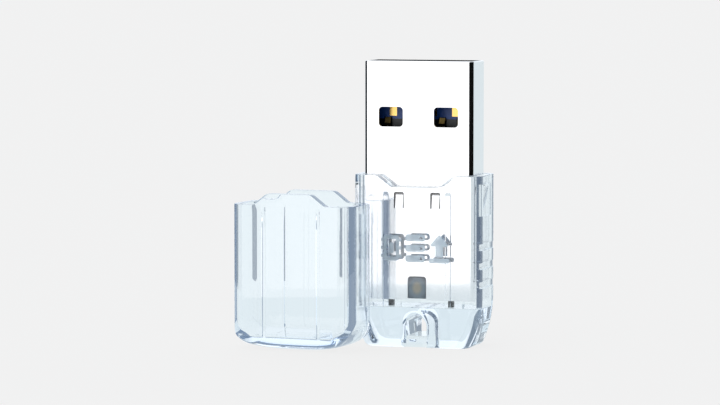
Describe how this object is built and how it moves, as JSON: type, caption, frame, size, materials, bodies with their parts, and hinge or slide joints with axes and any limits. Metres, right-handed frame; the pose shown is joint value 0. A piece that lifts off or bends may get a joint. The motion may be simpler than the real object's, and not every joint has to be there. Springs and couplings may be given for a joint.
{
  "type": "usb flash drive",
  "caption": "Clear pocket memory stick: metal plug in a clear housing with a lanyard tunnel, clear pull-off cap standing open end up beside it.",
  "frame": {"origin": "centre of the drive's foot, on the surface it stands on", "axes": "+Z along the drive from its foot to the plug tip, +X across its width away from the cap, -Y out of its printed front face"},
  "size_m": [0.0252, 0.015, 0.0302],
  "materials": {
    "clear_housing": "polished clear polycarbonate",
    "clear_cap": "polished clear polycarbonate",
    "shell_steel": "bright nickel-plated stamped steel, fine grain",
    "blue_insulator": "moulded blue insulator",
    "gold_contact": "gold-plated contact",
    "gold_spring": "thinly gold-plated spring strip",
    "board_mask": "slate blue solder mask",
    "chip_black": "moulded black epoxy",
    "tin_lead": "bright solder and tinned leads",
    "crystal_can": "drawn metal can",
    "led_body": "cream LED body with clear lens",
    "frosted_pipe": "frosted translucent acrylic",
    "ceramic_tan": "sintered ceramic",
    "resistor_black": "glazed black film",
    "ferrite_grey": "pressed ferrite",
    "holder_black": "moulded black carrier",
    "film_amber": "amber polyimide film",
    "pad_grey": "grey silicone thermal pad",
    "print_ink": "pale blue-grey pad print"
  },
  "bodies": {
    "drive": {"housing": "clear_housing", "plug_shell": "shell_steel", "contact_carrier": "blue_insulator", "main_board": "board_mask", "controller_chip": "chip_black", "controller_pads": "tin_lead", "flash_chip": "chip_black", "flash_balls": "tin_lead", "crystal": "crystal_can", "status_led": "led_body", "light_pipe": "frosted_pipe", "capacitors": "ceramic_tan", "resistors": "resistor_black", "power_inductor": "ferrite_grey", "voltage_regulator": "chip_black", "regulator_leads": "tin_lead", "solder_joints": "tin_lead", "board_holder": "holder_black", "insulating_film": "film_amber", "thermal_pad": "pad_grey", "mark_chip": "print_ink", "mark_stack": "print_ink", "mark_arrow": "print_ink", "vbus_contact": "gold_contact", "data_minus_contact": "gold_contact", "data_plus_contact": "gold_contact", "ground_contact": "gold_contact", "ss_rx_minus_contact": "gold_spring", "ss_rx_plus_contact": "gold_spring", "ss_drain_contact": "gold_spring", "ss_tx_minus_contact": "gold_spring", "ss_tx_plus_contact": "gold_spring"},
    "cap": {"cap": "clear_cap"}
  },
  "joints": [
    {"name": "cap_lift", "type": "slide", "parent": "drive", "child": "cap", "axis": [0, 0, 1], "range_m": [0, 0.035]}
  ]
}
